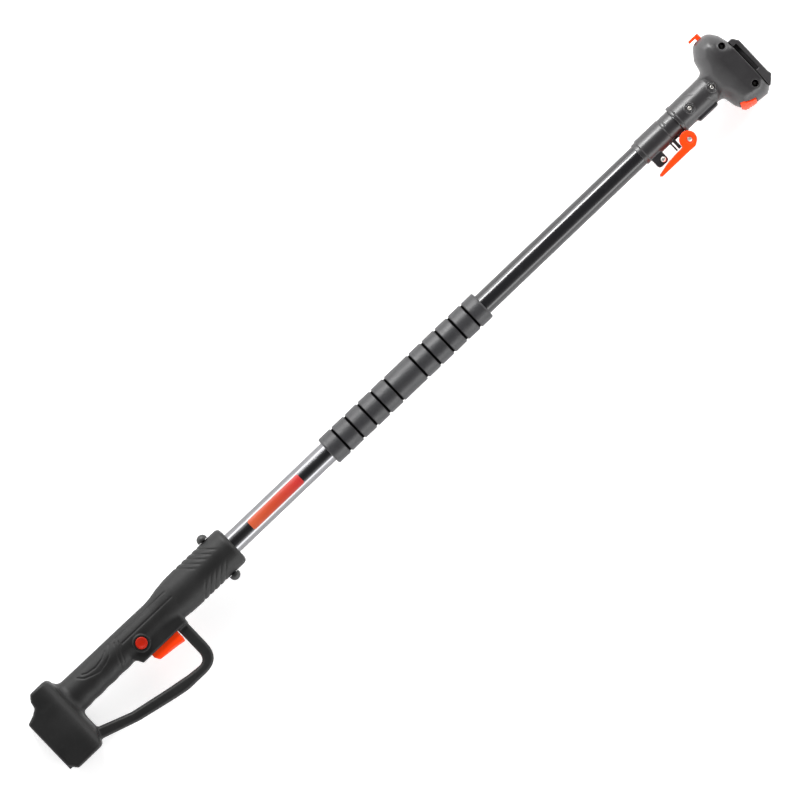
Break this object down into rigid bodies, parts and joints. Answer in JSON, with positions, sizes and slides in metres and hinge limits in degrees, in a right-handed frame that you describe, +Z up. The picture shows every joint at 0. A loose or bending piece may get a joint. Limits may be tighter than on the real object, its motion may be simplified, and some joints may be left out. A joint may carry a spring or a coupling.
{
  "type": "telescoping pole tool",
  "caption": "Battery-powered telescoping pole for a pruning saw head: guarded handle with trigger, foam grip, cam-lever clamp and a sliding inner tube carrying the tool head.",
  "frame": {"origin": "centre of the tool's box, at the height of the surface it lies on", "axes": "+X along the pole from the battery foot to the tool head, -Y to the hand guard and trigger, +Z up with the tool lying on its left side"},
  "size_m": [1.185, 0.1492, 0.078],
  "materials": {
    "handle_plastic": "fine spark-eroded grain, satin",
    "dock_plastic": "dull black, fine grain",
    "stud_plastic": "smooth black",
    "steel": "zinc-plated, lightly scuffed",
    "black_nylon": "glass-filled nylon",
    "brass": "plain brass",
    "board": "green board lacquer",
    "lead_rubber": "soft black jacket",
    "tube_coat": "glossy black coat on aluminium",
    "inner_tube_metal": "satin anodised aluminium",
    "label": "laminated label, orange fading to red",
    "foam": "closed-cell foam, open pores",
    "head_plastic": "warm dark grey, satin",
    "plate_plastic": "darker grey, satin",
    "orange_plastic": "bright orange, semi-gloss",
    "red_plastic": "orange-red, semi-gloss"
  },
  "bodies": {
    "handle_and_outer_tube": {"handle_shell_right": "handle_plastic", "handle_shell_left": "handle_plastic", "handle_screw_1": "steel", "handle_screw_2": "steel", "handle_screw_3": "steel", "handle_screw_4": "steel", "handle_screw_5": "steel", "handle_screw_6": "steel", "handle_screw_7": "steel", "handle_screw_8": "steel", "strap_stud_guard": "stud_plastic", "strap_stud_back": "stud_plastic", "battery_dock": "dock_plastic", "terminal_holder": "black_nylon", "dock_terminal_1": "brass", "dock_terminal_2": "brass", "dock_terminal_3": "brass", "control_board": "board", "switch_body": "black_nylon", "trigger_spring": "steel", "lock_spring": "steel", "handle_lead": "lead_rubber", "coil_lead": "lead_rubber", "outer_tube": "tube_coat", "label_plate": "label", "foam_grip": "foam", "clamp_collar": "head_plastic", "brake_shoe": "black_nylon", "collar_bolt": "steel", "collar_nut": "steel", "lever_pin": "steel"},
    "mast": {"inner_tube": "inner_tube_metal", "inner_bush": "black_nylon", "head_shell_right": "head_plastic", "head_shell_left": "head_plastic", "neck_screw_1": "steel", "neck_screw_2": "steel", "head_screw_1": "steel", "head_screw_2": "steel", "tool_plate": "plate_plastic", "head_terminal_holder": "black_nylon", "head_terminal_1": "brass", "head_terminal_2": "brass", "head_terminal_3": "brass", "head_lead": "lead_rubber", "latch_spring": "steel", "hook_spring": "steel"},
    "clamp_lever": {"clamp_lever": "orange_plastic"},
    "trigger": {"trigger": "orange_plastic"},
    "lock_button": {"lock_button": "red_plastic"},
    "latch_button": {"latch_button": "orange_plastic"},
    "latch_hook": {"latch_hook": "orange_plastic"}
  },
  "joints": [
    {"name": "telescope", "type": "slide", "parent": "handle_and_outer_tube", "child": "mast", "axis": [1, 0, 0], "range_m": [0, 0.6], "deforming": ["coil_lead"]},
    {"name": "clamp_lever_hinge", "type": "hinge", "parent": "handle_and_outer_tube", "child": "clamp_lever", "pos_m": [0.46755, -0.0116, 0.039], "axis": [0, 0, 1], "range_deg": [0, 120]},
    {"name": "trigger_squeeze", "type": "slide", "parent": "handle_and_outer_tube", "child": "trigger", "axis": [0, 1, 0], "range_m": [0, 0.006], "stiffness_N_per_m": 500, "springref_m": -0.003, "deforming": ["trigger_spring"]},
    {"name": "lock_press", "type": "slide", "parent": "handle_and_outer_tube", "child": "lock_button", "axis": [0, 0, -1], "range_m": [0, 0.003], "stiffness_N_per_m": 500, "springref_m": -0.003, "deforming": ["lock_spring"]},
    {"name": "latch_press", "type": "slide", "parent": "mast", "child": "latch_button", "axis": [0.4061, 0.9138, 0], "range_m": [0, 0.004], "stiffness_N_per_m": 500, "springref_m": -0.003, "deforming": ["latch_spring"]},
    {"name": "hook_give", "type": "slide", "parent": "mast", "child": "latch_hook", "axis": [0, -1, 0], "range_m": [0, 0.003], "stiffness_N_per_m": 500, "springref_m": -0.003, "deforming": ["hook_spring"]}
  ]
}
